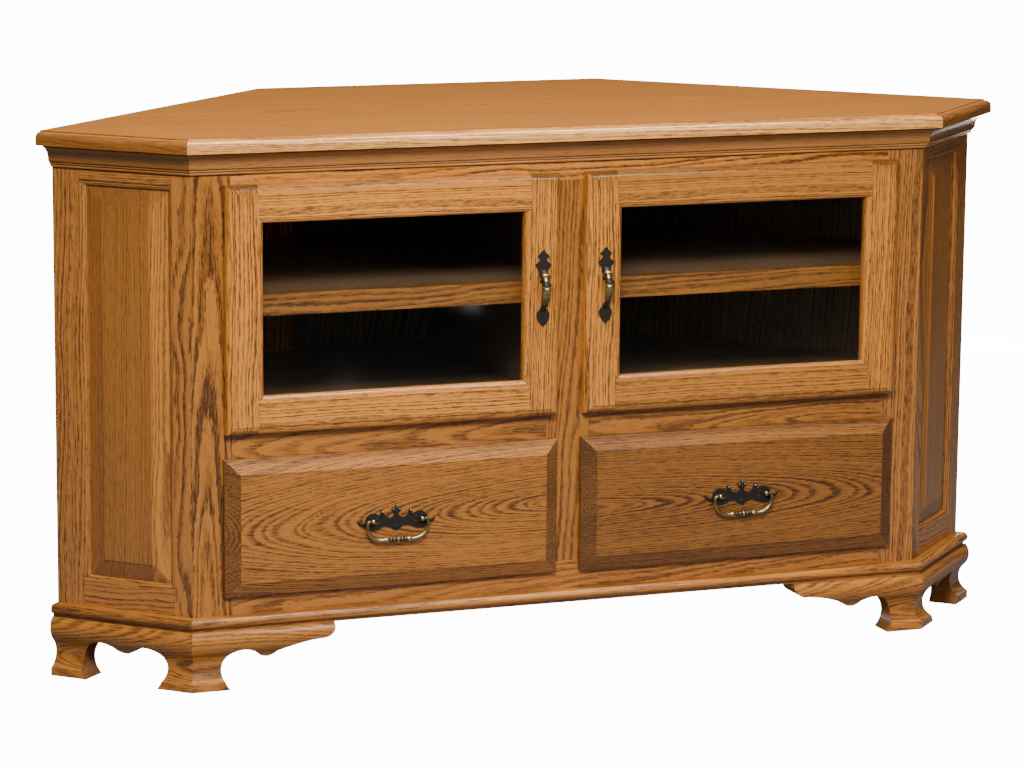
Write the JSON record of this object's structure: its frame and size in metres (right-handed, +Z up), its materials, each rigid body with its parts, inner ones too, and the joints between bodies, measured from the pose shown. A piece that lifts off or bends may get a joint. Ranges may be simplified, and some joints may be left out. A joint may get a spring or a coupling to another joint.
{
  "type": "corner tv cabinet",
  "caption": "Oak corner media cabinet with canted panelled sides, glazed doors over raised-front drawers with brass bail pulls, a moulded top and ogee bracket feet.",
  "frame": {"origin": "middle of the floor area of the bounding box, on the floor", "axes": "+X to the right seen from the front, +Y from the front to the room corner, +Z up"},
  "size_m": [1.5026, 0.6493, 0.787],
  "materials": {
    "oak": "satin lacquered oak",
    "drawer_maple": "pale satin maple",
    "interior_plywood": "oak plywood stained dark brown",
    "clear_glass": "clear float glass",
    "antique_brass": "antique brass, dark patina with rubbed highlights",
    "hinge_brass": "antique brass",
    "zinc_steel": "zinc-plated steel"
  },
  "bodies": {
    "carcase": {"back_corner_posts": "oak", "back_panel_centre": "interior_plywood", "back_panels_angled": "interior_plywood", "base_board_ends": "oak", "base_board_front": "oak", "bottom_deck": "oak", "bracket_front_left": "oak", "bracket_front_right": "oak", "bracket_side_left": "oak", "bracket_side_right": "oak", "centre_partitions": "interior_plywood", "crown_ends": "oak", "crown_front": "oak", "face_mullion": "oak", "face_rail_bottom": "oak", "face_rail_top": "oak", "face_rails_middle": "oak", "face_stile_left": "oak", "face_stile_right": "oak", "hinge_frame_leaves_left": "hinge_brass", "hinge_frame_leaves_right": "hinge_brass", "middle_deck": "interior_plywood", "rear_feet": "oak", "shelf_left": "oak", "shelf_pins": "zinc_steel", "shelf_right": "oak", "side_panel_left": "oak", "side_panel_right": "oak", "side_rails_left": "oak", "side_rails_right": "oak", "side_stiles_left": "oak", "side_stiles_right": "oak", "slide_cabinet_members": "zinc_steel", "slide_supports": "oak", "top_cleats": "oak", "top_panel": "oak"},
    "door_right": {"door_right_glass": "clear_glass", "door_right_glass_beads": "oak", "door_right_hinge_leaves": "hinge_brass", "door_right_pull": "antique_brass", "door_right_rails": "oak", "door_right_stiles": "oak"},
    "door_left": {"door_left_glass": "clear_glass", "door_left_glass_beads": "oak", "door_left_hinge_leaves": "hinge_brass", "door_left_pull": "antique_brass", "door_left_rails": "oak", "door_left_stiles": "oak"},
    "drawer_right": {"drawer_right_bottom": "drawer_maple", "drawer_right_box": "drawer_maple", "drawer_right_front": "oak", "drawer_right_pull_plate": "antique_brass", "drawer_right_slide_members": "zinc_steel"},
    "drawer_left": {"drawer_left_bottom": "drawer_maple", "drawer_left_box": "drawer_maple", "drawer_left_front": "oak", "drawer_left_pull_plate": "antique_brass", "drawer_left_slide_members": "zinc_steel"},
    "bail_right": {"drawer_right_bail": "antique_brass"},
    "bail_left": {"drawer_left_bail": "antique_brass"}
  },
  "joints": [
    {"name": "door_right_hinge", "type": "hinge", "parent": "carcase", "child": "door_right", "pos_m": [0.5165, -0.28685, 0.54275], "axis": [0, 0, 1], "range_deg": [0, 105]},
    {"name": "drawer_right_slide", "type": "slide", "parent": "carcase", "child": "drawer_right", "axis": [0, -1, 0], "range_m": [0, 0.23]},
    {"name": "bail_right_hinge", "type": "hinge", "parent": "drawer_right", "child": "bail_right", "pos_m": [0.2705, -0.31085, 0.231], "axis": [-1, 0, 0], "range_deg": [0, 80]},
    {"name": "door_left_hinge", "type": "hinge", "parent": "carcase", "child": "door_left", "pos_m": [-0.5165, -0.28685, 0.54275], "axis": [0, 0, -1], "range_deg": [0, 105]},
    {"name": "drawer_left_slide", "type": "slide", "parent": "carcase", "child": "drawer_left", "axis": [0, -1, 0], "range_m": [0, 0.23]},
    {"name": "bail_left_hinge", "type": "hinge", "parent": "drawer_left", "child": "bail_left", "pos_m": [-0.2705, -0.31085, 0.231], "axis": [-1, 0, 0], "range_deg": [0, 80]}
  ]
}
